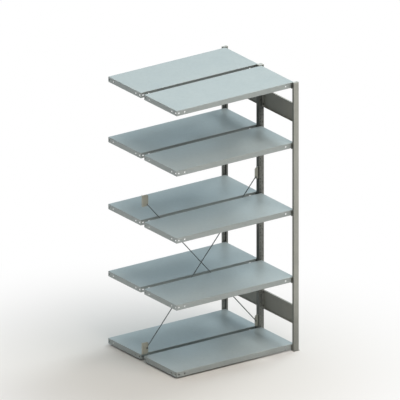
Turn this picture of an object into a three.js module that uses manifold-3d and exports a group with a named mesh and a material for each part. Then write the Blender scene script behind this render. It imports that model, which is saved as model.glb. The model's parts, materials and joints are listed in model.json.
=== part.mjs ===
// Double-sided boltless steel shelving, one add-on bay: an end frame of three slotted posts on the
// right, five levels of paired tray shelves on clips, and a crossed rod brace in the middle plane.
// Millimetres, +Z up, floor at z = 0, shelf length along X, depth along Y, front of the bay at -Y.
import * as THREE from "three";
import { mergeGeometries, mergeVertices } from "three/addons/utils/BufferGeometryUtils.js";
import Module from "manifold-3d";

const wasm = await Module();
wasm.setup();

// Shelves
const SHELF_LENGTH = 1000;
const SHELF_DEPTH = 396;
const SHELF_LIP = 40;
const SHELF_SHEET = 1.2;
const SHELF_RETURN = 12;
const SHELF_FOLD = 3;
const LEVELS = 5;
const LIP_HOLE_RADIUS = 4.8;
const LIP_HOLE_DROP = 20;
const END_LIP_HOLES = [14, 60];
const LONG_LIP_HOLES = [20, 70];
const STIFFENER_WIDTH = 60;
const STIFFENER_HEIGHT = 18;
const STIFFENER_END_GAP = 40;

// Posts
const POST_LENGTH = 2006;
const POST_WIDTH = 42;
const POST_DEPTH = 22;
const POST_LIP = 16;
const POST_SHEET = 1.5;
const POST_FOLD = 2.5;
const MIDDLE_POST_DEPTH = 35;
const MIDDLE_POST_LIP = 10;
const POST_ABOVE_DECK = 10;
const SLOT_PITCH = 50;
const SLOT_PHASE = 23;
const SLOT_HEIGHT = 14;
const SLOT_WIDTH = 4;
const SLOT_INSET = 11;

// Feet
const FOOT_THICKNESS = 4;
const FOOT_MARGIN = 4;
const FOOT_PLUG_HEIGHT = 14;
const FOOT_PLUG_INSET = 6;
const BOTTOM_LIFT = 6;

// Panels that tie the posts of the end frame together
const PANEL_HEIGHT = 138;
const PANEL_TO_POST_END = 251;
const PANEL_SHEET = 1.5;
const PANEL_FLANGE = 12;
const PANEL_FLANGE_GAP = 6;
const PANEL_BOLT_HALF_PITCH = 50;

// Bolts
const BOLT_RADIUS = 3;
const BOLT_HOLE_RADIUS = 3.3;
const BOLT_HEAD_RADIUS = 6;
const BOLT_HEAD_HEIGHT = 4;
const NUT_STRIP_THICKNESS = 3;
const NUT_STRIP_WIDTH = 12;

// Shelf clips
const CLIP_SHEET = 2;
const CLIP_PLAY = 0.5;
const CLIP_TOP_DROP = 8;
const CLIP_SKIRT = 3;
const CLIP_TIP_WIDTH = 12;
const CLIP_TIP_HEIGHT = 5;
const CLIP_HOOK_WIDTH = 3;
const CLIP_HOOK_HEIGHT = 9;
const CLIP_HOOK_DROP = 4;
const CLIP_HOOK_MARGIN = 3.5;

// Brace
const SHELF_TO_CENTRE = 3;
const BRACKET_SHEET = 3;
const BRACKET_HEIGHT = 86;
const BRACKET_BOTTOMS = [57, 1157];
const BRACKET_REACH = 46;
const BRACKET_FRONT = -6;
const BRACKET_FLANGE = 13;
const BRACKET_CORNER = 14;
const BRACKET_BOLT_HALF_PITCH = 24;
const ROD_RADIUS = 3.5;
const ROD_HOLE_RADIUS = 3.9;
const ROD_HOLE_EDGE = 10;
const ROD_HOLE_RISES = [40, 12];
const ROD_COLLAR_RADIUS = 7;
const ROD_COLLAR = 3;

const FIT = 0.3;
const CUT_PAST = 1;
const FOLD_STEPS = 2;
const HOLE_SIDES = 6;
const ROD_SIDES = 8;

// Positions that follow from the sizes above
const POST_TO_SHELF = CLIP_SHEET + CLIP_PLAY;
const BRACKET_OVERHANG = SHELF_TO_CENTRE - POST_SHEET / 2;
const RIGHT_OVERHANG = SHELF_TO_CENTRE + POST_WIDTH / 2 + FOOT_MARGIN;
const LEFT = (BRACKET_OVERHANG - SHELF_LENGTH - RIGHT_OVERHANG) / 2;
const RIGHT = LEFT + SHELF_LENGTH;
const POST_CENTRE = RIGHT + SHELF_TO_CENTRE;
const POST_LEFT = POST_CENTRE - POST_WIDTH / 2;
const POST_RIGHT = POST_CENTRE + POST_WIDTH / 2;
const POST_BOTTOM = FOOT_THICKNESS;
const POST_TOP = POST_BOTTOM + POST_LENGTH;
const MIDDLE_FACE = MIDDLE_POST_DEPTH / 2;
const SHELF_INNER = MIDDLE_FACE + POST_TO_SHELF;
const SHELF_OUTER = SHELF_INNER + SHELF_DEPTH;
const POST_INNER = SHELF_OUTER + POST_TO_SHELF;
const POST_OUTER = POST_INNER + POST_DEPTH;
const SLOT_X = POST_LEFT + SLOT_INSET;
const WEB_LEFT = POST_CENTRE - POST_SHEET / 2;
const WEB_RIGHT = POST_CENTRE + POST_SHEET / 2;
const PANEL_BOLT_X = POST_RIGHT - POST_FOLD - FIT - NUT_STRIP_WIDTH / 2;
const PANEL_CENTRES = [POST_BOTTOM + PANEL_TO_POST_END, POST_TOP - PANEL_TO_POST_END];
const BRACKET_BACK = BRACKET_FRONT + BRACKET_SHEET;
const BRACKET_BOLT_Y = BRACKET_BACK + (BRACKET_FLANGE - BRACKET_SHEET) / 2;
const BRACKET_HEAD_RADIUS = (BRACKET_FLANGE - BRACKET_SHEET) / 2 - FIT;

// Deck heights: even steps of whole slots from the bottom, the last one at the top of the posts.
const BOTTOM_DECK = FOOT_THICKNESS + BOTTOM_LIFT + SHELF_LIP;
const TOP_DECK = POST_TOP - POST_ABOVE_DECK;
const LEVEL_STEP = Math.ceil((TOP_DECK - BOTTOM_DECK) / (LEVELS - 1) / SLOT_PITCH) * SLOT_PITCH;
const DECKS = Array.from({ length: LEVELS }, (_, i) => Math.min(BOTTOM_DECK + i * LEVEL_STEP, TOP_DECK));

const root = new THREE.Group();
root.name = "double_sided_shelving_bay";

function material(color, roughness, metalness) {
  return new THREE.MeshStandardMaterial({ color, roughness, metalness });
}

const shelfLook = () => material(0xb7c4c3, 0.42, 0.55);
const postLook = () => material(0xa3a29a, 0.45, 0.5);
const panelLook = () => material(0x8c8b86, 0.48, 0.5);
const clipLook = () => material(0x84847e, 0.5, 0.6);
const boltLook = () => material(0xa9a9a4, 0.35, 0.85);
const bracketLook = () => material(0x8f9189, 0.45, 0.55);
const rodLook = () => material(0x868b8b, 0.4, 0.7);
const footLook = () => material(0x6f6f6b, 0.5, 0.5);

function solid(geometry) {
  geometry.deleteAttribute("normal");
  geometry.deleteAttribute("uv");
  const merged = mergeVertices(geometry, 1e-4);
  return new wasm.Manifold(new wasm.Mesh({
    numProp: 3,
    vertProperties: new Float32Array(merged.attributes.position.array),
    triVerts: new Uint32Array(merged.index.array),
  }));
}

function block(x0, x1, y0, y1, z0, z1) {
  const geometry = new THREE.BoxGeometry(Math.abs(x1 - x0), Math.abs(y1 - y0), z1 - z0);
  geometry.translate((x0 + x1) / 2, (y0 + y1) / 2, (z0 + z1) / 2);
  return geometry;
}

const unitX = new THREE.Vector3(1, 0, 0);
const unitY = new THREE.Vector3(0, 1, 0);
const unitZ = new THREE.Vector3(0, 0, 1);
const TURNS = {
  x: new THREE.Matrix4().makeBasis(unitY, unitZ, unitX),
  y: new THREE.Matrix4().makeBasis(unitZ, unitX, unitY),
  z: new THREE.Matrix4(),
};

// Pushes a closed outline along an axis. Outlines are in (y, z) for x, (z, x) for y, (x, y) for z.
function extrude(axis, outline, start, end) {
  const shape = new THREE.Shape(outline.map(([u, v]) => new THREE.Vector2(u, v)));
  const geometry = new THREE.ExtrudeGeometry(shape, { depth: end - start, bevelEnabled: false });
  geometry.translate(0, 0, start);
  geometry.applyMatrix4(TURNS[axis]);
  return solid(geometry);
}

// Turns the square corners of an open path into arcs.
function fold(path, radius) {
  const made = [path[0]];
  for (let i = 1; i < path.length - 1; i += 1) {
    const corner = new THREE.Vector2(...path[i]);
    const back = new THREE.Vector2(...path[i - 1]).sub(corner).setLength(radius);
    const on = new THREE.Vector2(...path[i + 1]).sub(corner).setLength(radius);
    for (let k = 0; k <= FOLD_STEPS; k += 1) {
      const turn = (Math.PI / 2) * (k / FOLD_STEPS);
      const a = 1 - Math.sin(turn);
      const b = 1 - Math.cos(turn);
      made.push([corner.x + back.x * a + on.x * b, corner.y + back.y * a + on.y * b]);
    }
  }
  made.push(path[path.length - 1]);
  return made;
}

// The closed outline of a bent sheet: the path is its outside, the thickness lies to the left.
function sheet(path, thickness) {
  const normals = path.slice(1).map(([u, v], i) => {
    const along = new THREE.Vector2(u - path[i][0], v - path[i][1]).normalize();
    return new THREE.Vector2(-along.y, along.x);
  });
  const inside = path.map(([u, v], i) => {
    const before = normals[Math.max(i - 1, 0)];
    const after = normals[Math.min(i, normals.length - 1)];
    const scale = thickness / (1 + before.dot(after));
    return [u + (before.x + after.x) * scale, v + (before.y + after.y) * scale];
  });
  return [...path, ...inside.reverse()];
}

const mirrored = (outline, side) => outline.map(([x, y]) => [x, side * y]);

function bar(axis, start, end, u, v, radius, sides) {
  const low = Math.min(start, end);
  const high = Math.max(start, end);
  const geometry = new THREE.CylinderGeometry(radius, radius, high - low, sides);
  if (axis === "x") {
    geometry.rotateZ(-Math.PI / 2);
    geometry.translate((low + high) / 2, u, v);
  } else {
    geometry.translate(u, (low + high) / 2, v);
  }
  return solid(geometry);
}

function join(pieces) {
  return pieces.reduce((sum, piece) => sum.add(piece));
}

function cut(body, tools) {
  return body.subtract(join(tools));
}

function place(name, body, look) {
  const made = body.getMesh();
  const geometry = new THREE.BufferGeometry();
  geometry.setAttribute("position", new THREE.BufferAttribute(new Float32Array(made.vertProperties), 3));
  geometry.setIndex(new THREE.BufferAttribute(new Uint32Array(made.triVerts), 1));
  geometry.computeVertexNormals();
  const mesh = new THREE.Mesh(geometry, look);
  mesh.name = name;
  root.add(mesh);
}

// Rows of clip slots in one face of a post, counted from the floor like the decks.
function slotRows(face, columns) {
  const reach = POST_SHEET + CUT_PAST;
  const half = SLOT_WIDTH / 2;
  const tools = [];
  for (const x of columns) {
    for (let z = SLOT_PHASE; z + SLOT_HEIGHT < POST_TOP; z += SLOT_PITCH) {
      tools.push(block(x - half, x + half, face - reach, face + reach, z, z + SLOT_HEIGHT));
    }
  }
  return solid(mergeGeometries(tools));
}

const panelBoltZ = (centre) => [centre - PANEL_BOLT_HALF_PITCH, centre + PANEL_BOLT_HALF_PITCH];

function panelBoltHoles(face) {
  const reach = POST_SHEET + CUT_PAST;
  return PANEL_CENTRES.flatMap(panelBoltZ).map((z) => (
    bar("y", face - reach, face + reach, PANEL_BOLT_X, z, BOLT_HOLE_RADIUS, HOLE_SIDES)
  ));
}

// Outer posts: lipped channels that open toward the shelves, with the slots in their lips.
function outerPost(side) {
  const path = fold([
    [POST_RIGHT - POST_LIP, POST_INNER],
    [POST_RIGHT, POST_INNER],
    [POST_RIGHT, POST_OUTER],
    [POST_LEFT, POST_OUTER],
    [POST_LEFT, POST_INNER],
    [POST_LEFT + POST_LIP, POST_INNER],
  ], POST_FOLD);
  const profile = extrude("z", mirrored(sheet(path, POST_SHEET), side), POST_BOTTOM, POST_TOP);
  const face = side * POST_INNER;
  return cut(profile, [slotRows(face, [SLOT_X]), ...panelBoltHoles(face)]);
}

// Middle post: two slotted faces with lips, back to back on one web, a groove on each side.
function middlePost() {
  const path = fold([
    [POST_RIGHT, MIDDLE_FACE - MIDDLE_POST_LIP],
    [POST_RIGHT, MIDDLE_FACE],
    [POST_LEFT, MIDDLE_FACE],
    [POST_LEFT, MIDDLE_FACE - MIDDLE_POST_LIP],
  ], POST_FOLD);
  const webEnd = MIDDLE_FACE - POST_SHEET / 2;
  const pieces = [solid(block(WEB_LEFT, WEB_RIGHT, -webEnd, webEnd, POST_BOTTOM, POST_TOP))];
  const tools = [];
  for (const side of [-1, 1]) {
    pieces.push(extrude("z", mirrored(sheet(path, POST_SHEET), side), POST_BOTTOM, POST_TOP));
    const face = side * MIDDLE_FACE;
    tools.push(slotRows(face, [SLOT_X, POST_RIGHT - SLOT_INSET]), ...panelBoltHoles(face));
  }
  for (const z of BRACKET_BOTTOMS.flatMap(bracketBoltZ)) {
    const x0 = WEB_LEFT - CUT_PAST;
    const x1 = WEB_RIGHT + CUT_PAST;
    tools.push(bar("x", x0, x1, BRACKET_BOLT_Y, z, BOLT_HOLE_RADIUS, HOLE_SIDES));
  }
  return cut(join(pieces), tools);
}

// A foot: a plate under the post, with a plug inside the post.
function foot(yOuter, yInner, plug) {
  const plate = block(POST_LEFT - FOOT_MARGIN, POST_RIGHT + FOOT_MARGIN, yOuter, yInner, 0, FOOT_THICKNESS);
  const top = FOOT_THICKNESS + FOOT_PLUG_HEIGHT;
  return solid(plate).add(solid(block(...plug, FOOT_THICKNESS / 2, top)));
}

function outerFoot(side) {
  const x0 = POST_LEFT + POST_SHEET + FOOT_PLUG_INSET;
  const x1 = POST_RIGHT - POST_SHEET - FOOT_PLUG_INSET;
  const y0 = side * (POST_INNER + POST_SHEET + FOOT_PLUG_INSET);
  const y1 = side * (POST_OUTER - POST_SHEET - FIT);
  return foot(side * (POST_OUTER + FOOT_MARGIN), side * (POST_INNER - FOOT_MARGIN), [x0, x1, y0, y1]);
}

function middleFoot() {
  const half = MIDDLE_FACE - POST_SHEET - FIT;
  const x0 = WEB_RIGHT + FIT;
  const x1 = POST_RIGHT - POST_SHEET - FOOT_PLUG_INSET;
  return foot(MIDDLE_FACE + FOOT_MARGIN, -MIDDLE_FACE - FOOT_MARGIN, [x0, x1, -half, half]);
}

// A panel between the middle post and an outer post: ends turned against the posts, edges folded.
function panel(side, centre) {
  const z0 = centre - PANEL_HEIGHT / 2;
  const z1 = centre + PANEL_HEIGHT / 2;
  const wall = [
    [POST_RIGHT - POST_LIP, MIDDLE_FACE],
    [POST_RIGHT, MIDDLE_FACE],
    [POST_RIGHT, POST_INNER],
    [POST_RIGHT - POST_LIP, POST_INNER],
  ];
  const edge = [
    [z0, POST_RIGHT - PANEL_FLANGE],
    [z0, POST_RIGHT],
    [z1, POST_RIGHT],
    [z1, POST_RIGHT - PANEL_FLANGE],
  ];
  const ends = [MIDDLE_FACE + PANEL_SHEET + PANEL_FLANGE_GAP, POST_INNER - PANEL_SHEET - PANEL_FLANGE_GAP];
  const [y0, y1] = ends.map((y) => side * y).sort((a, b) => a - b);
  const body = extrude("z", mirrored(sheet(wall, PANEL_SHEET), side), z0, z1)
    .add(extrude("y", sheet(edge, -PANEL_SHEET), y0, y1));
  const reach = PANEL_SHEET + CUT_PAST;
  const tools = [];
  for (const z of panelBoltZ(centre)) {
    for (const face of [side * MIDDLE_FACE, side * POST_INNER]) {
      tools.push(bar("y", face - reach, face + reach, PANEL_BOLT_X, z, BOLT_HOLE_RADIUS, HOLE_SIDES));
    }
  }
  return cut(body, tools);
}

// Two bolts on one nut strip: heads on the panel end, strip behind the post face.
function panelBolts(face, into, centre) {
  const seat = face - into * PANEL_SHEET;
  const strip = face + into * POST_SHEET;
  const half = NUT_STRIP_WIDTH / 2;
  const reach = PANEL_BOLT_HALF_PITCH + half;
  const stripFar = strip + into * NUT_STRIP_THICKNESS;
  const pieces = [solid(block(
    PANEL_BOLT_X - half, PANEL_BOLT_X + half, strip, stripFar, centre - reach, centre + reach,
  ))];
  const shankEnd = strip + into * NUT_STRIP_THICKNESS / 2;
  const headEnd = seat - into * BOLT_HEAD_HEIGHT;
  for (const z of panelBoltZ(centre)) {
    pieces.push(bar("y", (seat + headEnd) / 2, shankEnd, PANEL_BOLT_X, z, BOLT_RADIUS, HOLE_SIDES));
    pieces.push(bar("y", headEnd, seat, PANEL_BOLT_X, z, BOLT_HEAD_RADIUS, HOLE_SIDES));
  }
  return join(pieces);
}

// A block with its four upper edges folded round.
function foldedBlock(x0, x1, y0, y1, z0, z1, radius) {
  const across = fold([[y0, z0], [y0, z1], [y1, z1], [y1, z0]], radius);
  const lengthways = fold([[z0, x0], [z1, x0], [z1, x1], [z0, x1]], radius);
  return extrude("x", across, x0, x1).intersect(extrude("y", lengthways, y0, y1));
}

// A tray shelf: lips folded down on four sides, returns folded in, a channel under the deck.
function shelf(side, top) {
  const y0 = side < 0 ? -SHELF_OUTER : SHELF_INNER;
  const y1 = y0 + SHELF_DEPTH;
  const z0 = top - SHELF_LIP;
  const t = SHELF_SHEET;
  const r = SHELF_RETURN;
  const inside = foldedBlock(LEFT + t, RIGHT - t, y0 + t, y1 - t, z0 + t, top - t, SHELF_FOLD - t);
  const mouth = solid(block(LEFT + r, RIGHT - r, y0 + r, y1 - r, z0 - CUT_PAST, z0 + t + CUT_PAST));
  const tray = foldedBlock(LEFT, RIGHT, y0, y1, z0, top, SHELF_FOLD).subtract(inside).subtract(mouth);
  const weld = top - t / 2;
  const low = top - t - STIFFENER_HEIGHT;
  const s0 = (y0 + y1 - STIFFENER_WIDTH) / 2;
  const s1 = s0 + STIFFENER_WIDTH;
  const channel = sheet([[s0, weld], [s0, low], [s1, low], [s1, weld]], t);
  const body = tray.add(extrude("x", channel, LEFT + STIFFENER_END_GAP, RIGHT - STIFFENER_END_GAP));
  const z = top - LIP_HOLE_DROP;
  const tools = [];
  for (const offset of END_LIP_HOLES) {
    for (const y of [y0 + offset, y1 - offset]) {
      tools.push(bar("x", LEFT - CUT_PAST, LEFT + t + CUT_PAST, y, z, LIP_HOLE_RADIUS, HOLE_SIDES));
      tools.push(bar("x", RIGHT - t - CUT_PAST, RIGHT + CUT_PAST, y, z, LIP_HOLE_RADIUS, HOLE_SIDES));
    }
  }
  for (const offset of LONG_LIP_HOLES) {
    for (const x of [LEFT + offset, RIGHT - offset]) {
      tools.push(bar("y", y0 - CUT_PAST, y0 + t + CUT_PAST, x, z, LIP_HOLE_RADIUS, HOLE_SIDES));
      tools.push(bar("y", y1 - t - CUT_PAST, y1 + CUT_PAST, x, z, LIP_HOLE_RADIUS, HOLE_SIDES));
    }
  }
  return cut(body, tools);
}

// The lower edge of the slot that lies nearest to the lower edge of a shelf.
function slotSeat(lipBottom) {
  return SLOT_PHASE + SLOT_PITCH * Math.max(Math.round((lipBottom - SLOT_PHASE) / SLOT_PITCH), 0);
}

// A clip: a plate between post and shelf, its hook dropped behind a slot, a ledge under the shelf's
// lip and a tip behind the shelf's return. Distances are counted from the post face to the shelf.
function clip(face, toward, top) {
  const lipBottom = top - SHELF_LIP;
  const ledge = lipBottom - CLIP_SHEET;
  const seat = slotSeat(lipBottom);
  const high = Math.max(top - CLIP_TOP_DROP, seat + CLIP_HOOK_HEIGHT + CLIP_HOOK_MARGIN);
  const low = Math.min(ledge, seat - CLIP_HOOK_MARGIN) - CLIP_SKIRT;
  const tipNear = POST_TO_SHELF + SHELF_RETURN + FIT;
  const tipFar = tipNear + CLIP_SHEET;
  const hookNear = -POST_SHEET - FIT;
  const hookFar = hookNear - CLIP_SHEET;
  const x0 = RIGHT - SHELF_RETURN - FIT - CLIP_TIP_WIDTH;
  const x1 = SLOT_X + CLIP_HOOK_WIDTH / 2 + CLIP_HOOK_MARGIN;
  const plate = [
    [0, low],
    [CLIP_SHEET, low],
    [CLIP_SHEET, ledge],
    [tipFar, ledge],
    [tipFar, lipBottom],
    [CLIP_SHEET, lipBottom],
    [CLIP_SHEET, high],
    [0, high],
  ];
  const tip = [
    [tipNear, ledge],
    [tipFar, ledge],
    [tipFar, lipBottom + CLIP_TIP_HEIGHT],
    [tipNear, lipBottom + CLIP_TIP_HEIGHT],
  ];
  const hook = [
    [CLIP_SHEET / 2, seat],
    [CLIP_SHEET / 2, seat + CLIP_HOOK_HEIGHT],
    [hookNear, seat + CLIP_HOOK_HEIGHT],
    [hookFar, seat + CLIP_HOOK_HEIGHT / 2],
    [hookFar, seat - CLIP_HOOK_DROP],
    [hookNear, seat - CLIP_HOOK_DROP],
    [hookNear, seat],
  ];
  const outline = (points) => points.map(([s, z]) => [face + toward * s, z]);
  const hook0 = SLOT_X - CLIP_HOOK_WIDTH / 2;
  return join([
    extrude("x", outline(plate), x0, x1),
    extrude("x", outline(tip), x0, x0 + CLIP_TIP_WIDTH),
    extrude("x", outline(hook), hook0, hook0 + CLIP_HOOK_WIDTH),
  ]);
}

function bracketBoltZ(bottom) {
  const middle = bottom + BRACKET_HEIGHT / 2;
  return [middle - BRACKET_BOLT_HALF_PITCH, middle + BRACKET_BOLT_HALF_PITCH];
}

// The brackets of one end: the web face they bolt to, their tip and the hole for a rod.
const bracketSeat = (end) => (end > 0 ? RIGHT : LEFT) + end * BRACKET_OVERHANG;
const bracketTip = (end) => (end > 0 ? RIGHT : LEFT) - end * BRACKET_REACH;
const rodHoleX = (end) => bracketTip(end) + end * ROD_HOLE_EDGE;
const rodHoleZ = (bottom) => bottom + ROD_HOLE_RISES[BRACKET_BOTTOMS.indexOf(bottom)];

// An angle bracket: its flange bolts to a post web, its round-cornered plate carries a rod end.
function bracket(end, bottom) {
  const top = bottom + BRACKET_HEIGHT;
  const seat = bracketSeat(end);
  const tip = bracketTip(end);
  const width = Math.abs(seat - tip);
  const section = sheet([
    [-width - CUT_PAST, BRACKET_FRONT],
    [0, BRACKET_FRONT],
    [0, BRACKET_FRONT + BRACKET_FLANGE],
  ], BRACKET_SHEET).map(([x, y]) => [seat + end * x, y]);
  const past = seat + end * CUT_PAST;
  const blank = fold([[bottom, past], [bottom, tip], [top, tip], [top, past]], BRACKET_CORNER);
  const y0 = BRACKET_FRONT - CUT_PAST;
  const y1 = BRACKET_FRONT + BRACKET_FLANGE + CUT_PAST;
  const outline = extrude("y", blank, y0, y1);
  const body = extrude("z", section, bottom - CUT_PAST, top + CUT_PAST).intersect(outline);
  const rodX = rodHoleX(end);
  const rodZ = rodHoleZ(bottom);
  const tools = [bar("y", y0, BRACKET_BACK + CUT_PAST, rodX, rodZ, ROD_HOLE_RADIUS, ROD_SIDES)];
  const inner = seat - end * (BRACKET_SHEET + CUT_PAST);
  for (const z of bracketBoltZ(bottom)) {
    tools.push(bar("x", inner, past, BRACKET_BOLT_Y, z, BOLT_HOLE_RADIUS, HOLE_SIDES));
  }
  return cut(body, tools);
}

function bracketBolts(bottom) {
  const y = BRACKET_BOLT_Y;
  const seat = WEB_LEFT - BRACKET_SHEET;
  const stripFar = WEB_RIGHT + NUT_STRIP_THICKNESS;
  const middle = bottom + BRACKET_HEIGHT / 2;
  const half = NUT_STRIP_WIDTH / 2;
  const reach = BRACKET_BOLT_HALF_PITCH + half;
  const pieces = [solid(block(WEB_RIGHT, stripFar, y - half, y + half, middle - reach, middle + reach))];
  const headEnd = seat - BOLT_HEAD_HEIGHT;
  const shankEnd = WEB_RIGHT + NUT_STRIP_THICKNESS / 2;
  for (const z of bracketBoltZ(bottom)) {
    pieces.push(bar("x", (seat + headEnd) / 2, shankEnd, y, z, BOLT_RADIUS, HOLE_SIDES));
    pieces.push(bar("x", headEnd, seat, y, z, BRACKET_HEAD_RADIUS, HOLE_SIDES));
  }
  return join(pieces);
}

// A brace rod: straight diagonal, both ends turned through a bracket and headed behind it.
function rod(face, startEnd, startBottom, finishEnd, finishBottom) {
  const near = face < 0 ? BRACKET_FRONT : BRACKET_BACK;
  const far = face < 0 ? BRACKET_BACK : BRACKET_FRONT;
  const plane = near + face * (FIT + ROD_RADIUS);
  const collar = far - face * FIT;
  const tipEnd = collar - face * ROD_COLLAR;
  const a = new THREE.Vector3(rodHoleX(startEnd), plane, rodHoleZ(startBottom));
  const b = new THREE.Vector3(rodHoleX(finishEnd), plane, rodHoleZ(finishBottom));
  const along = new THREE.Vector3().subVectors(b, a);
  const geometry = new THREE.CylinderGeometry(ROD_RADIUS, ROD_RADIUS, along.length(), ROD_SIDES);
  const turn = new THREE.Quaternion().setFromUnitVectors(unitY, along.clone().normalize());
  geometry.rotateY(Math.PI / ROD_SIDES);
  geometry.applyQuaternion(turn);
  const middle = new THREE.Vector3().addVectors(a, b).multiplyScalar(0.5);
  geometry.translate(middle.x, middle.y, middle.z);
  const pieces = [solid(geometry)];
  for (const end of [a, b]) {
    pieces.push(bar("y", plane + face * (ROD_RADIUS + FIT), tipEnd, end.x, end.z, ROD_RADIUS, ROD_SIDES));
    pieces.push(bar("y", collar, tipEnd, end.x, end.z, ROD_COLLAR_RADIUS, HOLE_SIDES));
  }
  return join(pieces);
}

const SIDES = [[-1, "front"], [1, "rear"]];

place("middle_post", middlePost(), postLook());
place("middle_foot", middleFoot(), footLook());
for (const [side, sideName] of SIDES) {
  place(`${sideName}_post`, outerPost(side), postLook());
  place(`${sideName}_foot`, outerFoot(side), footLook());
  ["lower", "upper"].forEach((height, index) => {
    const centre = PANEL_CENTRES[index];
    const name = `${sideName}_panel`;
    place(`${name}_${height}`, panel(side, centre), panelLook());
    place(`${name}_bolts_${height}_outer`, panelBolts(side * POST_INNER, side, centre), boltLook());
    place(`${name}_bolts_${height}_middle`, panelBolts(side * MIDDLE_FACE, -side, centre), boltLook());
  });
  DECKS.forEach((top, index) => {
    const level = index + 1;
    place(`${sideName}_shelf_${level}`, shelf(side, top), shelfLook());
    place(`${sideName}_clip_${level}_outer`, clip(side * POST_INNER, -side, top), clipLook());
    place(`${sideName}_clip_${level}_middle`, clip(side * MIDDLE_FACE, side, top), clipLook());
  });
}

const [lowBracket, highBracket] = BRACKET_BOTTOMS;
for (const [bottom, height] of [[lowBracket, "lower"], [highBracket, "upper"]]) {
  place(`left_bracket_${height}`, bracket(-1, bottom), bracketLook());
  place(`right_bracket_${height}`, bracket(1, bottom), bracketLook());
  place(`bracket_bolts_${height}`, bracketBolts(bottom), boltLook());
}
place("brace_rod_falling", rod(-1, -1, highBracket, 1, lowBracket), rodLook());
place("brace_rod_rising", rod(1, -1, lowBracket, 1, highBracket), rodLook());

export default root;
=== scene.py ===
"""Looks of a double-sided steel shelving bay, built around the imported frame. Metres, +Z up."""
import json
import math

import bmesh
import bpy
from mathutils import Matrix, Vector


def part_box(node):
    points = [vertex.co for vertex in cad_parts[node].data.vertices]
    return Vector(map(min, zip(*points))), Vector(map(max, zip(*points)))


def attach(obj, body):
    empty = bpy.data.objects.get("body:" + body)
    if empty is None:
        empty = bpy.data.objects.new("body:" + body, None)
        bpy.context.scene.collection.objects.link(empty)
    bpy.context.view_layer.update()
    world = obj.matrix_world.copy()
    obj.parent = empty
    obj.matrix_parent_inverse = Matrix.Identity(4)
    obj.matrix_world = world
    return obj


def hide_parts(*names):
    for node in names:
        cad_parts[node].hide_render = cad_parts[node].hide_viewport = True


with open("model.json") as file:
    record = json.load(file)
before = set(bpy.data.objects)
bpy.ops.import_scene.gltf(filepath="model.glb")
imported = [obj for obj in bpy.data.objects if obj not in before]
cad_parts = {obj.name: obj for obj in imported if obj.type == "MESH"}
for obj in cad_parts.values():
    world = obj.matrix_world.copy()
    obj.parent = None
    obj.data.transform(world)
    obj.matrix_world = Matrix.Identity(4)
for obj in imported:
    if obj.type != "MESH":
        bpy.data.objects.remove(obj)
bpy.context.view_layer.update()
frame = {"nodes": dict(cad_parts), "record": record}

MM = 0.001
SIDES = (("front", -1), ("rear", 1))
LEVELS = range(1, 6)
TOP_SHELF = "front_shelf_5"
FRAME_BODY = "frame"

# Sheet steel and its folds
SHELF_SHEET = 1.2 * MM
SHELF_RETURN = 12 * MM
POST_SHEET = 1.5 * MM
POST_LIP = 16 * MM
MIDDLE_SEAM = 0.4 * MM
FOLD_RADIUS = 3 * MM
POST_FOLD_RADIUS = 1.75 * MM
LEAST_CORNER_RADIUS = 0.25 * MM
FOLD_STEPS = 5
SMOOTH_ANGLE = math.radians(32)

# Holes and slits of the shelf lips, measured from the shelf corners
LIP_HOLE_RADIUS = 5.5 * MM
LIP_HOLE_DROP = 20 * MM
END_LIP_HOLES = (14 * MM, 60 * MM)
LONG_LIP_HOLES = (20 * MM, 70 * MM)
CORNER_SLIT = 1.0 * MM
CORNER_SLIT_DROP = 5 * MM
CORNER_SLIT_REACH = 1.5 * SHELF_RETURN
LIP_CUT_PAST = 2 * MM

# Slots of the posts, counted from the floor
SLOT_WIDTH = 4 * MM
SLOT_HEIGHT = 14 * MM
SLOT_PITCH = 25 * MM
BOLTED_SLOT_PITCH = 50 * MM
SLOT_PHASE = 23 * MM
SLOT_INSET = 11 * MM
SLOT_END_MARGIN = 2 * MM
SLOT_CUT_PAST = 1 * MM

# Openings in the side of the middle post for the brackets that are bolted to its web
WINDOW_MARGIN = 2 * MM
BOLTED_BRACKETS = ("right_bracket_lower", "right_bracket_upper")

# Caps that close the posts, just above the top decks
CAP_ABOVE_DECK = 2.5 * MM
CAP_THICKNESS = 3 * MM
CAP_CORNER = 2 * MM
CAP_RIM = CAP_THICKNESS / 3

# Stiffening channel under each deck; the drop is from the deck's top to the middle of the channel's sheet
STIFFENER_WIDTH = 60 * MM
STIFFENER_HEIGHT = 18 * MM
STIFFENER_FOOT = 12 * MM
STIFFENER_SLOPE = 4 * MM
STIFFENER_DROP = 1.55 * SHELF_SHEET
STIFFENER_END_GAP = 40 * MM

# Brace rods with the washer and nut at each end
ROD_RADIUS = 3.5 * MM
ROD_BEND_RADIUS = 1.05 * ROD_RADIUS
ROD_BEND_STEPS = 8
ROD_COLLAR = 3 * MM
ROD_COLLAR_RADIUS = 7 * MM
ROD_COLLAR_FLAT = ROD_COLLAR_RADIUS * math.cos(math.radians(30))
WASHER_RADIUS = 7.4 * MM
WASHER_THICKNESS = 0.9 * MM
NUT_RADIUS = 6.6 * MM

# Edge rounding of the solids that keep their shape, by the first word of their slot
SOFT_EDGES = {"panel": 0.4 * MM, "bolt": 0.5 * MM, "clip": 0.4 * MM, "bracket": 0.6 * MM, "foot": 0.8 * MM}

# Share by which the cloudy tone of the steel goes up and down
TONE_SPREAD = 0.06

# Floor, white from some way off
FLOOR_HALF = 40.0
FLOOR_COLOUR = (0.78, 0.752, 0.726, 1.0)
FADE_CENTRE = (-0.5, -0.3, 0.0)
FADE_START = 0.4
FADE_END = 2.4

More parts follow.
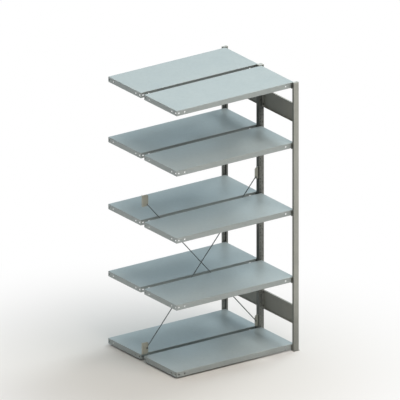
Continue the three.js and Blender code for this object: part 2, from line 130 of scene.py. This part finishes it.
# Sky colours by height, behind the bay and in front of it
SKY_STRENGTH = 1.95
SKY_BACK_DIRECTION = (0.57, 0.82, 0.0)
BACK_SKY = ((0.0, (0.08, 0.075, 0.07)), (0.12, (0.36, 0.43, 0.47)), (0.40, (0.62, 0.83, 0.95)),
            (0.75, (0.25, 0.25, 0.23)), (1.0, (0.23, 0.22, 0.195)))
FRONT_SKY = ((0.0, (0.055, 0.05, 0.045)), (0.12, (0.055, 0.05, 0.045)), (0.40, (0.07, 0.065, 0.06)),
             (0.75, (0.21, 0.20, 0.19)), (1.0, (0.23, 0.22, 0.195)))

LAMPS = (
    {"name": "key", "place": (8.0, 2.2, 11.0), "target": (0.0, 0.0, 0.9),
     "size": 4.0, "power": 530.0, "colour": (0.88, 0.96, 1.0)},
    {"name": "top", "place": (0.0, -1.5, 12.0), "target": (0.0, 0.0, 0.9),
     "size": 6.0, "power": 170.0, "colour": (0.98, 0.99, 1.0)},
    {"name": "front", "place": (0.3, -4.6, 7.5), "target": (0.0, 0.0, 0.8),
     "size": 5.0, "power": 300.0, "colour": (1.0, 0.94, 0.86)},
)

VIEW_AZIMUTH = math.radians(-35.03)
VIEW_ELEVATION = math.radians(20.8)
PHOTO_PIXELS = 400
PIXELS_PER_METRE = 143.4
AIM_HEIGHT = 1.0962
AIM_RIGHT = -0.0181
CAMERA_DISTANCE = 12.0
CAMERA_REACH = 100.0


# Meshes

def mesh_piece(name, verts, faces):
    """A new object made of the given vertices and faces."""
    mesh = bpy.data.meshes.new(name)
    mesh.from_pydata([tuple(v) for v in verts], [], faces)
    mesh.validate()
    piece = bpy.data.objects.new(name, mesh)
    bpy.context.collection.objects.link(piece)
    return piece


def drop(piece):
    """Removes a piece together with its mesh."""
    mesh = piece.data
    bpy.data.objects.remove(piece)
    bpy.data.meshes.remove(mesh)


def outward(piece):
    """Turns the faces of a closed piece to the outside."""
    work = bmesh.new()
    work.from_mesh(piece.data)
    bmesh.ops.recalc_face_normals(work, faces=work.faces)
    work.to_mesh(piece.data)
    work.free()


def smooth_folds(piece):
    """Shades the folds round and keeps the cut edges sharp."""
    polygons = piece.data.polygons
    polygons.foreach_set("use_smooth", [True] * len(polygons))
    piece.data.set_sharp_from_angle(angle=SMOOTH_ANGLE)


def cut_away(piece, cutter):
    """Takes the cutter's solids out of the piece and removes the cutter."""
    modifier = piece.modifiers.new("cut", "BOOLEAN")
    modifier.operation = "DIFFERENCE"
    modifier.solver = "EXACT"
    modifier.object = cutter
    graph = bpy.context.evaluated_depsgraph_get()
    made = bpy.data.meshes.new_from_object(piece.evaluated_get(graph))
    piece.modifiers.clear()
    old = piece.data
    piece.data = made
    bpy.data.meshes.remove(old)
    drop(cutter)


def join_mesh(piece, verts, faces):
    """Adds a closed shell to the piece's mesh."""
    extra = mesh_piece("extra", verts, faces)
    outward(extra)
    work = bmesh.new()
    work.from_mesh(piece.data)
    work.from_mesh(extra.data)
    work.to_mesh(piece.data)
    work.free()
    drop(extra)


def band(first, second, count):
    """Faces between two closed rings of vertices, given by the number of their first vertex."""
    steps = [(i, (i + 1) % count) for i in range(count)]
    return [(first + i, first + j, second + j, second + i) for i, j in steps]


def rounded(points, radius, steps=FOLD_STEPS):
    """An open run of straight stretches whose corners become arcs."""
    made = [Vector(points[0])]
    for before, corner, after in zip(points, points[1:], points[2:]):
        corner = Vector(corner)
        inward = (Vector(before) - corner).normalized()
        onward = (Vector(after) - corner).normalized()
        half = inward.angle(onward) / 2
        reach = radius / math.tan(half)
        centre = corner + (inward + onward).normalized() * (radius / math.sin(half))
        start = corner + inward * reach - centre
        end = corner + onward * reach - centre
        sweep = start.angle(end)
        for i in range(steps + 1):
            share = i / steps
            a = math.sin((1 - share) * sweep) / math.sin(sweep)
            b = math.sin(share * sweep) / math.sin(sweep)
            made.append(centre + start * a + end * b)
    made.append(Vector(points[-1]))
    return made


def sheet_section(path, thickness):
    """The closed outline of a sheet whose middle line is the path."""
    left, right = [], []
    for i, point in enumerate(path):
        ahead = path[min(i + 1, len(path) - 1)] - path[max(i - 1, 0)]
        across = Vector((-ahead.y, ahead.x)).normalized() * (thickness / 2)
        left.append(point + across)
        right.append(point - across)
    return left + right[::-1]


def prism(outlines, place, start, end):
    """Vertices and faces of closed outlines pushed from start to end; place puts (u, v, w) in space."""
    verts, faces = [], []
    for outline in outlines:
        base, count = len(verts), len(outline)
        verts += [place(p.x, p.y, start) for p in outline]
        verts += [place(p.x, p.y, end) for p in outline]
        faces.append(tuple(range(base + count - 1, base - 1, -1)))
        faces.append(tuple(range(base + count, base + 2 * count)))
        faces += band(base, base + count, count)
    return verts, faces


def obround(width, height, steps=6):
    """A slot outline with round ends, standing on one of them."""
    radius = width / 2
    rise = height / 2 - radius
    points = []
    for start, centre in ((0, rise), (math.pi, -rise)):
        for i in range(steps + 1):
            turn = start + math.pi * i / steps
            points.append(Vector((radius * math.cos(turn), centre + radius * math.sin(turn))))
    return points


def circle(radius, steps=24):
    """A round outline about the origin."""
    turns = [2 * math.pi * i / steps for i in range(steps)]
    return [Vector((radius * math.cos(t), radius * math.sin(t))) for t in turns]


def shifted(outline, u, v):
    """The outline moved in its own plane."""
    return [Vector((p.x + u, p.y + v)) for p in outline]


def along_x(u, v, w):
    """Space for a prism along X, with its outline in (y, z)."""
    return (w, u, v)


def along_y(u, v, w):
    """Space for a prism along Y, with its outline in (x, z)."""
    return (u, w, v)


def along_z(u, v, w):
    """Space for a prism along Z, with its outline in (x, y)."""
    return (u, v, w)


def cutter_piece(jobs):
    """One object of many prisms; each job is (outlines, place, start, end)."""
    verts, faces = [], []
    for job in jobs:
        more_verts, more_faces = prism(*job)
        base = len(verts)
        verts += more_verts
        faces += [tuple(base + i for i in face) for face in more_faces]
    cutter = mesh_piece("cutter", verts, faces)
    outward(cutter)
    return cutter


def corners(node):
    """The low and high corner of a solid's box."""
    low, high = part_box(node)
    return Vector(low), Vector(high)


# Materials

def node_maker(owner):
    """Functions that fill the empty node tree of a material or world."""
    tree = owner.node_tree
    tree.nodes.clear()
    link = tree.links.new

    def add(kind, **inputs):
        node = tree.nodes.new(kind)
        for key, value in inputs.items():
            node.inputs[key.replace("_", " ")].default_value = value
        return node

    def combine(operation, first, second):
        node = add("ShaderNodeMath")
        node.operation = operation
        for socket, value in zip(node.inputs, (first, second)):
            if isinstance(value, float):
                socket.default_value = value
            else:
                link(value, socket)
        return node.outputs["Value"]

    return add, link, combine


def colours(sockets):
    """The colour sockets among the inputs or outputs of a mix node."""
    return [socket for socket in sockets if socket.type == "RGBA"]


def steel(name, colour, metallic, roughness, shine=0.5, spangle=70.0, painted_shade=(0.0, 0.0),
          painted_shade_heights=(0.05, 0.6), painted_shade_reach=0.55, painted_edge_light=1.25, edge_reach=1.2 * MM):
    """Coated sheet steel: cloudy tone, faint zinc cells, fine grain, edges lightened as a painted highlight
    with a little wear when the edge factor is above one and darkened as painted shade when it is below, and
    painted shade in covered places.
    """
    material = bpy.data.materials.new(name)
    material.use_nodes = True
    add, link, combine = node_maker(material)
    place = add("ShaderNodeTexCoord").outputs["Object"]

    cloud = add("ShaderNodeTexNoise", Scale=5.5, Detail=5.0, Roughness=0.6)
    link(place, cloud.inputs["Vector"])
    tone = add("ShaderNodeMapRange", From_Min=0.3, From_Max=0.7,
               To_Min=1 - TONE_SPREAD, To_Max=1 + TONE_SPREAD)
    link(cloud.outputs["Fac"], tone.inputs["Value"])
    cells = add("ShaderNodeTexVoronoi", Scale=spangle)
    link(place, cells.inputs["Vector"])
    cell_grey = add("ShaderNodeRGBToBW")
    link(cells.outputs["Color"], cell_grey.inputs["Color"])
    cell_tone = add("ShaderNodeMapRange", To_Min=1 - TONE_SPREAD / 2, To_Max=1 + TONE_SPREAD / 2)
    link(cell_grey.outputs["Val"], cell_tone.inputs["Value"])
    unshaded_tone = combine("MULTIPLY", tone.outputs["Result"], cell_tone.outputs["Result"])

    # Painted shade: where ambient occlusion finds the surface covered by nearby parts, the colour is
    # darkened, by an amount that changes with height.
    covered = add("ShaderNodeAmbientOcclusion", Distance=painted_shade_reach)
    covered.samples = 8
    shut_in = add("ShaderNodeMapRange", From_Min=0.9, From_Max=0.65)
    link(covered.outputs["AO"], shut_in.inputs["Value"])
    parts = add("ShaderNodeSeparateXYZ")
    link(place, parts.inputs["Vector"])
    amount = add("ShaderNodeMapRange", From_Min=painted_shade_heights[0], From_Max=painted_shade_heights[1],
                 To_Min=painted_shade[0], To_Max=painted_shade[1])
    link(parts.outputs["Z"], amount.inputs["Value"])
    loss = combine("MULTIPLY", shut_in.outputs["Result"], amount.outputs["Result"])
    painted_shade_tone = combine("MULTIPLY", unshaded_tone, combine("SUBTRACT", 1.0, loss))
    shade = add("ShaderNodeVectorMath")
    shade.operation = "SCALE"
    shade.inputs[0].default_value = colour
    link(painted_shade_tone, shade.inputs["Scale"])

    # Painted light on edges: near folds and edges the colour is scaled by a factor; above one it is a
    # painted highlight with a little wear, below one it is painted shade along the folds.
    soft_normal = add("ShaderNodeBevel", Radius=edge_reach)
    soft_normal.samples = 4
    sharp_normal = add("ShaderNodeNewGeometry")
    facing = add("ShaderNodeVectorMath")
    facing.operation = "DOT_PRODUCT"
    link(soft_normal.outputs["Normal"], facing.inputs[0])
    link(sharp_normal.outputs["Normal"], facing.inputs[1])
    painted_edge_mask = add("ShaderNodeMapRange", From_Min=0.995, From_Max=0.90, To_Min=0.0, To_Max=0.6)
    link(facing.outputs["Value"], painted_edge_mask.inputs["Value"])
    edge = add("ShaderNodeMix")
    edge.data_type = "RGBA"
    flat_colour, edge_colour = colours(edge.inputs)
    edge_colour.default_value = tuple(min(1.0, c * painted_edge_light) for c in colour) + (1.0,)
    link(shade.outputs["Vector"], flat_colour)
    link(painted_edge_mask.outputs["Result"], edge.inputs["Factor"])

    gloss = add("ShaderNodeMapRange", From_Min=0.3, From_Max=0.7,
                To_Min=roughness - 0.06, To_Max=roughness + 0.08)
    link(cloud.outputs["Fac"], gloss.inputs["Value"])
    fine = add("ShaderNodeTexNoise", Scale=900.0, Detail=2.0)
    link(place, fine.inputs["Vector"])
    relief = add("ShaderNodeBump", Strength=0.08, Distance=0.0004)
    link(fine.outputs["Fac"], relief.inputs["Height"])

    shader = add("ShaderNodeBsdfPrincipled", Metallic=metallic, Specular_IOR_Level=shine)
    link(colours(edge.outputs)[0], shader.inputs["Base Color"])
    link(gloss.outputs["Result"], shader.inputs["Roughness"])
    link(relief.outputs["Normal"], shader.inputs["Normal"])
    out = add("ShaderNodeOutputMaterial")
    link(shader.outputs["BSDF"], out.inputs["Surface"])
    return material


def srgb(red, green, blue):
    """Linear colour of an 8-bit display colour."""
    def one(value):
        share = value / 255
        return share / 12.92 if share <= 0.04045 else ((share + 0.055) / 1.055) ** 2.4
    return (one(red), one(green), one(blue))


LOOKS = {
    # Shelves: painted shade along the folds and, high up, in the narrow gaps between the trays.
    "shelf_steel": steel("shelf_steel", srgb(170, 178, 178), metallic=0.12, roughness=0.45, shine=0.45,
                         painted_shade=(0.0, 0.6), painted_shade_heights=(0.7, 2.0), painted_shade_reach=80 * MM,
                         painted_edge_light=0.6, edge_reach=2 * MM),
    # Posts and panels: painted shade where shelves and panels cover them, and a painted highlight on their
    # edges.
    "post_steel": steel("post_steel", srgb(176, 178, 173), metallic=0.0, roughness=0.55, shine=0.2,
                        painted_shade=(0.3, 0.74)),
    "panel_steel": steel("panel_steel", srgb(182, 181, 174), metallic=0.0, roughness=0.55, shine=0.2,
                         painted_shade=(0.09, 0.22)),
    "clip_steel": steel("clip_steel", srgb(120, 120, 114), metallic=0.6, roughness=0.42, spangle=240.0),
    "bolt_steel": steel("bolt_steel", srgb(150, 150, 146), metallic=0.85, roughness=0.32, spangle=320.0),
    "bracket_steel": steel("bracket_steel", srgb(190, 191, 180), metallic=0.0, roughness=0.5, shine=0.3),
    "rod_steel": steel("rod_steel", srgb(126, 131, 131), metallic=0.7, roughness=0.34, spangle=260.0),
    "foot_steel": steel("foot_steel", srgb(152, 154, 150), metallic=0.1, roughness=0.5, shine=0.3),
}


def dress(piece, slot, body, *nodes):
    """Gives a piece its look and its body, in place of the solids it stands for."""
    piece.data.materials.clear()
    piece.data.materials.append(LOOKS[slot])
    level = piece.modifiers.new("level_faces", "WEIGHTED_NORMAL")
    level.keep_sharp = True
    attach(piece, body)
    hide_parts(*nodes)


# Shelves

def ring(low, high, inset, radius, z, steps=3):
    """A level rounded rectangle inside the plan of a box."""
    x0, x1 = low.x + inset, high.x - inset
    y0, y1 = low.y + inset, high.y - inset
    turns = ((x1 - radius, y1 - radius, 0), (x0 + radius, y1 - radius, 90),
             (x0 + radius, y0 + radius, 180), (x1 - radius, y0 + radius, 270))
    points = []
    for cx, cy, turn in turns:
        for i in range(steps + 1):
            angle = math.radians(turn + 90 * i / steps)
            points.append((cx + radius * math.cos(angle), cy + radius * math.sin(angle), z))
    return points


def tray_rings(low, high):
    """Insets and heights up the outside of the tray, over the folds, and down the inside."""
    t, r = SHELF_SHEET, FOLD_RADIUS
    outside, inside = [(SHELF_RETURN, low.z)], []
    for i in range(FOLD_STEPS + 1):
        a = math.pi / 2 * i / FOLD_STEPS
        outside.append((r - r * math.sin(a), low.z + r - r * math.cos(a)))
        inside.append((r - (r - t) * math.sin(a), low.z + r - (r - t) * math.cos(a)))
    for i in range(FOLD_STEPS + 1):
        a = math.pi / 2 * i / FOLD_STEPS
        outside.append((r - r * math.cos(a), high.z - r + r * math.sin(a)))
        inside.append((r - (r - t) * math.cos(a), high.z - r + (r - t) * math.sin(a)))
    return outside, inside[::-1] + [(SHELF_RETURN, low.z + t)]


def tray(name, low, high):
    """The folded sheet of a shelf: deck, four lips and their returns."""
    outside, inside = tray_rings(low, high)
    verts, faces, rings = [], [], []
    for inset, z in outside + inside:
        rings.append(len(verts))
        verts += ring(low, high, inset, max(FOLD_RADIUS - inset, LEAST_CORNER_RADIUS), z)
    count = len(verts) // len(rings)
    deck_top, deck_under = len(outside) - 1, len(outside)
    for i in range(len(rings) - 1):
        if i != deck_top:
            faces += band(rings[i], rings[i + 1], count)
    faces += band(rings[-1], rings[0], count)
    for i in (deck_top, deck_under):
        faces.append(tuple(range(rings[i], rings[i] + count)))
    piece = mesh_piece(name, verts, faces)
    outward(piece)
    return piece


def lip_cutter(low, high):
    """Holes through the lips and a slit down each folded corner."""
    t, past = SHELF_SHEET, LIP_CUT_PAST
    z = high.z - LIP_HOLE_DROP
    jobs = []
    for offset in END_LIP_HOLES:
        for y in (low.y + offset, high.y - offset):
            hole = [shifted(circle(LIP_HOLE_RADIUS), y, z)]
            jobs.append((hole, along_x, low.x - past, low.x + t + past))
            jobs.append((hole, along_x, high.x - t - past, high.x + past))
    for offset in LONG_LIP_HOLES:
        for x in (low.x + offset, high.x - offset):
            hole = [shifted(circle(LIP_HOLE_RADIUS), x, z)]
            jobs.append((hole, along_y, low.y - past, low.y + t + past))
            jobs.append((hole, along_y, high.y - t - past, high.y + past))
    half = CORNER_SLIT / 2 * math.sqrt(2)
    for x, sx in ((low.x, 1), (high.x, -1)):
        for y, sy in ((low.y, 1), (high.y, -1)):
            x0, y0 = x - sx * past, y - sy * past
            x1, y1 = x + sx * CORNER_SLIT_REACH, y + sy * CORNER_SLIT_REACH
            slit = [Vector((x0 + half, y0)), Vector((x1 + half, y1)),
                    Vector((x1 - half, y1)), Vector((x0 - half, y0))]
            jobs.append(([slit], along_z, low.z - past, high.z - CORNER_SLIT_DROP))
    return cutter_piece(jobs)


def stiffener_section(centre, top):
    """A channel hung under the deck by its two feet, in (y, z)."""
    half = STIFFENER_WIDTH / 2
    under = top - STIFFENER_DROP
    low = under - STIFFENER_HEIGHT
    path = [(centre - half - STIFFENER_FOOT, under), (centre - half, under),
            (centre - half + STIFFENER_SLOPE, low), (centre + half - STIFFENER_SLOPE, low),
            (centre + half, under), (centre + half + STIFFENER_FOOT, under)]
    return sheet_section(rounded(path, FOLD_RADIUS), SHELF_SHEET)


def shelf(name, low, high):
    """A tray with its holes and the channel under its deck."""
    piece = tray(name, low, high)
    cut_away(piece, lip_cutter(low, high))
    section = stiffener_section((low.y + high.y) / 2, high.z)
    join_mesh(piece, *prism([section], along_x, low.x + STIFFENER_END_GAP, high.x - STIFFENER_END_GAP))
    smooth_folds(piece)
    return piece


first_shelf = {}
for side_name, _ in SIDES:
    for level in LEVELS:
        node = f"{side_name}_shelf_{level}"
        low, high = corners(node)
        if side_name not in first_shelf:
            piece = shelf(f"{node}_tray", low, high)
            first_shelf[side_name] = (piece, low)
        else:
            model, base = first_shelf[side_name]
            piece = bpy.data.objects.new(f"{node}_tray", model.data.copy())
            piece.data.transform(Matrix.Translation(low - base))
            bpy.context.collection.objects.link(piece)
        dress(piece, "shelf_steel", FRAME_BODY if level == 1 else f"{node}_body", node)


# Posts

def slot_row(top, face, inward, x, pitch):
    """The cutter for one column of clip slots through a face of a post."""
    outlines = []
    bottom = SLOT_PHASE
    while bottom + SLOT_HEIGHT < top - SLOT_END_MARGIN:
        outlines.append(shifted(obround(SLOT_WIDTH, SLOT_HEIGHT), x, bottom + SLOT_HEIGHT / 2))
        bottom += pitch
    start, end = sorted((face - inward * SLOT_CUT_PAST, face + inward * (POST_SHEET + SLOT_CUT_PAST)))
    return (outlines, along_y, start, end)


def post_corners(name):
    """The post's box up to the underside of its cap."""
    low, high = corners(name)
    high.z = corners(TOP_SHELF)[1].z + CAP_ABOVE_DECK - CAP_THICKNESS
    return low, high


def add_cap(piece, low, high):
    """Closes the top of a post with a flat cap that has round corners and a chamfered rim."""
    top = high.z + CAP_THICKNESS
    heights = ((high.z, 0.0), (top - CAP_RIM, 0.0), (top, CAP_RIM))
    verts, faces = [], []
    for z, inset in heights:
        verts += ring(low, high, inset, CAP_CORNER, z)
    count = len(verts) // len(heights)
    for base in range(0, len(verts) - count, count):
        faces += band(base, base + count, count)
    faces.append(tuple(range(count)))
    faces.append(tuple(range(len(verts) - count, len(verts))))
    join_mesh(piece, verts, faces)


def post(name, low, high, sections, jobs):
    """Pushes the sections up to the cap, cuts the slots and closes the top."""
    piece = mesh_piece(f"{name}_profile", *prism(sections, along_z, low.z, high.z))
    outward(piece)
    cut_away(piece, cutter_piece(jobs))
    add_cap(piece, low, high)
    smooth_folds(piece)
    dress(piece, "post_steel", FRAME_BODY, name)


def outer_post(name, side):
    """A channel with two lips, open toward the shelves; clips hook into the lips."""
    low, high = post_corners(name)
    half = POST_SHEET / 2
    outer, inner = (low.y, high.y) if side < 0 else (high.y, low.y)
    face, back = outer - side * half, inner + side * half
    left, right = low.x + half, high.x - half
    path = [(right - POST_LIP + half, back), (right, back), (right, face),
            (left, face), (left, back), (left + POST_LIP - half, back)]
    section = sheet_section(rounded(path, POST_FOLD_RADIUS), POST_SHEET)
    slots = slot_row(high.z, inner, side, low.x + SLOT_INSET, SLOT_PITCH)
    post(name, low, high, [section], [slots])


def bracket_window(bracket, x):
    """The cutter for the opening in the side of the middle post that lets a bracket through to the web."""
    low, high = corners(bracket)
    y0, y1 = low.y - WINDOW_MARGIN, high.y + WINDOW_MARGIN
    z0, z1 = low.z - WINDOW_MARGIN, high.z + WINDOW_MARGIN
    opening = [Vector((y0, z0)), Vector((y1, z0)), Vector((y1, z1)), Vector((y0, z1))]
    return ([opening], along_x, x - SLOT_CUT_PAST, x + POST_SHEET + SLOT_CUT_PAST)


def middle_post(name):
    """Two lipped faces on one web; their lips meet and close the sides."""
    low, high = post_corners(name)
    half = POST_SHEET / 2
    left, right = low.x + half, high.x - half
    centre, middle = (low.x + high.x) / 2, (low.y + high.y) / 2
    web_front, web_back = low.y + POST_SHEET, high.y - POST_SHEET
    web = [Vector((centre - half, web_front)), Vector((centre + half, web_front)),
           Vector((centre + half, web_back)), Vector((centre - half, web_back))]
    sections, jobs = [web], []
    for face, side in ((low.y, -1), (high.y, 1)):
        skin, back = face - side * half, middle + side * MIDDLE_SEAM / 2
        path = [(left, back), (left, skin), (right, skin), (right, back)]
        sections.append(sheet_section(rounded(path, POST_FOLD_RADIUS), POST_SHEET))
        jobs.append(slot_row(high.z, face, -side, low.x + SLOT_INSET, SLOT_PITCH))
        jobs.append(slot_row(high.z, face, -side, high.x - SLOT_INSET, BOLTED_SLOT_PITCH))
    for bracket in BOLTED_BRACKETS:
        jobs.append(bracket_window(bracket, low.x))
    post(name, low, high, sections, jobs)


for side_name, side in SIDES:
    outer_post(f"{side_name}_post", side)
middle_post("middle_post")


# Brace rods

def tube(name, path, radius, sides=18):
    """A round bar along a path, closed at both ends."""
    verts, faces = [], []
    across = None
    for i, point in enumerate(path):
        ahead = (path[min(i + 1, len(path) - 1)] - path[max(i - 1, 0)]).normalized()
        if across is None:
            across = ahead.orthogonal().normalized()
        across = (across - ahead * across.dot(ahead)).normalized()
        other = ahead.cross(across)
        for k in range(sides):
            turn = 2 * math.pi * k / sides
            verts.append(point + (across * math.cos(turn) + other * math.sin(turn)) * radius)
    for i in range(len(path) - 1):
        faces += band(i * sides, (i + 1) * sides, sides)
    faces.append(tuple(range(sides - 1, -1, -1)))
    faces.append(tuple(range(len(verts) - sides, len(verts))))
    piece = mesh_piece(name, verts, faces)
    outward(piece)
    return piece


def brace_rod(node, falling):
    """A rod with turned ends through its brackets, a washer and a nut on the far side of each."""
    low, high = corners(node)
    x0, x1 = low.x + ROD_COLLAR_FLAT, high.x - ROD_COLLAR_FLAT
    z0, z1 = low.z + ROD_COLLAR_RADIUS, high.z - ROD_COLLAR_RADIUS
    if falling:
        rod_y, tip_y, toward_tip = low.y + ROD_RADIUS, high.y, 1
        z0, z1 = z1, z0
    else:
        rod_y, tip_y, toward_tip = high.y - ROD_RADIUS, low.y, -1
    path = [Vector((x0, tip_y, z0)), Vector((x0, rod_y, z0)),
            Vector((x1, rod_y, z1)), Vector((x1, tip_y, z1))]
    piece = tube(f"{node}_bar", rounded(path, ROD_BEND_RADIUS, ROD_BEND_STEPS), ROD_RADIUS)
    seat_y = tip_y - toward_tip * ROD_COLLAR
    nut_y = seat_y + toward_tip * WASHER_THICKNESS
    washer, nut = circle(WASHER_RADIUS), circle(NUT_RADIUS, 6)
    for x, z in ((x0, z0), (x1, z1)):
        join_mesh(piece, *prism([shifted(washer, x, z)], along_y, *sorted((seat_y, nut_y))))
        join_mesh(piece, *prism([shifted(nut, x, z)], along_y, *sorted((nut_y, tip_y))))
    smooth_folds(piece)
    dress(piece, "rod_steel", FRAME_BODY, node)


brace_rod("brace_rod_falling", True)
brace_rod("brace_rod_rising", False)


# The other solids keep their shape and get a finish and softened edges

def finish_solid(name, slot, width):
    """Gives a solid its look and rounds its edges."""
    solid = frame["nodes"][name]
    solid.data.materials.clear()
    solid.data.materials.append(LOOKS[slot])
    edge = solid.modifiers.new("soft_edges", "BEVEL")
    edge.width = width
    edge.segments = 2
    edge.limit_method = "ANGLE"
    edge.angle_limit = math.radians(40)


for entry in frame["record"]["subparts"]:
    kind = entry["material_slot"].split("_")[0]
    if kind in SOFT_EDGES:
        finish_solid(entry["node"], entry["material_slot"], SOFT_EDGES[kind])


# Stage, light and camera

def floor_material():
    """A pale floor that takes the shadow near the bay and is seen as white farther off."""
    material = bpy.data.materials.new("floor")
    material.use_nodes = True
    add, link, combine = node_maker(material)
    lit = add("ShaderNodeBsdfDiffuse", Color=FLOOR_COLOUR)
    white = add("ShaderNodeEmission", Strength=1.0)
    where = add("ShaderNodeTexCoord")
    far = add("ShaderNodeVectorMath")
    far.operation = "DISTANCE"
    far.inputs[1].default_value = FADE_CENTRE
    link(where.outputs["Object"], far.inputs[0])
    fade = add("ShaderNodeMapRange", From_Min=FADE_START, From_Max=FADE_END)
    fade.interpolation_type = "SMOOTHSTEP"
    link(far.outputs["Value"], fade.inputs["Value"])
    path = add("ShaderNodeLightPath").outputs
    seen = combine("MAXIMUM", path["Is Camera Ray"], path["Is Glossy Ray"])
    seen = combine("MAXIMUM", seen, path["Is Transmission Ray"])
    mix = add("ShaderNodeMixShader")
    link(combine("MULTIPLY", fade.outputs["Result"], seen), mix.inputs["Fac"])
    link(lit.outputs["BSDF"], mix.inputs[1])
    link(white.outputs["Emission"], mix.inputs[2])
    out = add("ShaderNodeOutputMaterial")
    link(mix.outputs["Shader"], out.inputs["Surface"])
    return material


def make_floor():
    """One large level face under the bay."""
    half = FLOOR_HALF
    rim = [(-half, -half, 0), (half, -half, 0), (half, half, 0), (-half, half, 0)]
    floor = mesh_piece("floor", rim, [(0, 1, 2, 3)])
    floor.data.materials.append(floor_material())


def area_light(name, place, target, size, power, colour):
    """A square lamp that faces its target."""
    lamp = bpy.data.lights.new(name, "AREA")
    lamp.shape = "SQUARE"
    lamp.size = size
    lamp.energy = power
    lamp.color = colour
    holder = bpy.data.objects.new(name, lamp)
    holder.location = place
    holder.rotation_euler = (Vector(target) - Vector(place)).to_track_quat("-Z", "Y").to_euler()
    bpy.context.collection.objects.link(holder)


def make_world():
    """A pale sky, cool and bright behind the bay, dim in front of it and faintly warm overhead."""
    world = bpy.data.worlds.new("studio")
    world.use_nodes = True
    add, link, _ = node_maker(world)
    where = add("ShaderNodeTexCoord")
    parts = add("ShaderNodeSeparateXYZ")
    link(where.outputs["Generated"], parts.inputs["Vector"])

    def bands(stops):
        ramp = add("ShaderNodeValToRGB")
        marks = ramp.color_ramp.elements
        for height, _ in stops[1:-1]:
            marks.new(height)
        for mark, (height, colour) in zip(marks, stops):
            mark.position = height
            mark.color = colour + (1.0,)
        link(parts.outputs["Z"], ramp.inputs["Fac"])
        return ramp.outputs["Color"]

    toward_back = add("ShaderNodeVectorMath")
    toward_back.operation = "DOT_PRODUCT"
    toward_back.inputs[1].default_value = SKY_BACK_DIRECTION
    link(where.outputs["Generated"], toward_back.inputs[0])
    share = add("ShaderNodeMapRange", From_Min=0.0, From_Max=0.7)
    link(toward_back.outputs["Value"], share.inputs["Value"])
    blend = add("ShaderNodeMix")
    blend.data_type = "RGBA"
    link(share.outputs["Result"], blend.inputs["Factor"])
    front_side, back_side = colours(blend.inputs)
    link(bands(FRONT_SKY), front_side)
    link(bands(BACK_SKY), back_side)
    sky = add("ShaderNodeBackground", Strength=SKY_STRENGTH)
    link(colours(blend.outputs)[0], sky.inputs["Color"])
    out = add("ShaderNodeOutputWorld")
    link(sky.outputs["Background"], out.inputs["Surface"])
    bpy.context.scene.world = world


def make_camera():
    """A parallel view from the front left, a little above the bay."""
    lens = bpy.data.cameras.new("camera")
    lens.type = "ORTHO"
    lens.ortho_scale = PHOTO_PIXELS / PIXELS_PER_METRE
    lens.clip_end = CAMERA_REACH
    camera = bpy.data.objects.new("camera", lens)
    a, e = VIEW_AZIMUTH, VIEW_ELEVATION
    back = Vector((math.sin(a) * math.cos(e), -math.cos(a) * math.cos(e), math.sin(e)))
    right = Vector((math.cos(a), math.sin(a), 0))
    aim = Vector((0, 0, AIM_HEIGHT)) + right * AIM_RIGHT
    camera.location = aim + back * CAMERA_DISTANCE
    camera.rotation_euler = (-back).to_track_quat("-Z", "Y").to_euler()
    bpy.context.collection.objects.link(camera)
    bpy.context.scene.camera = camera


make_floor()
make_world()
for settings in LAMPS:
    area_light(**settings)
make_camera()
bpy.context.scene.view_settings.view_transform = "Standard"

bpy.context.view_layer.update()
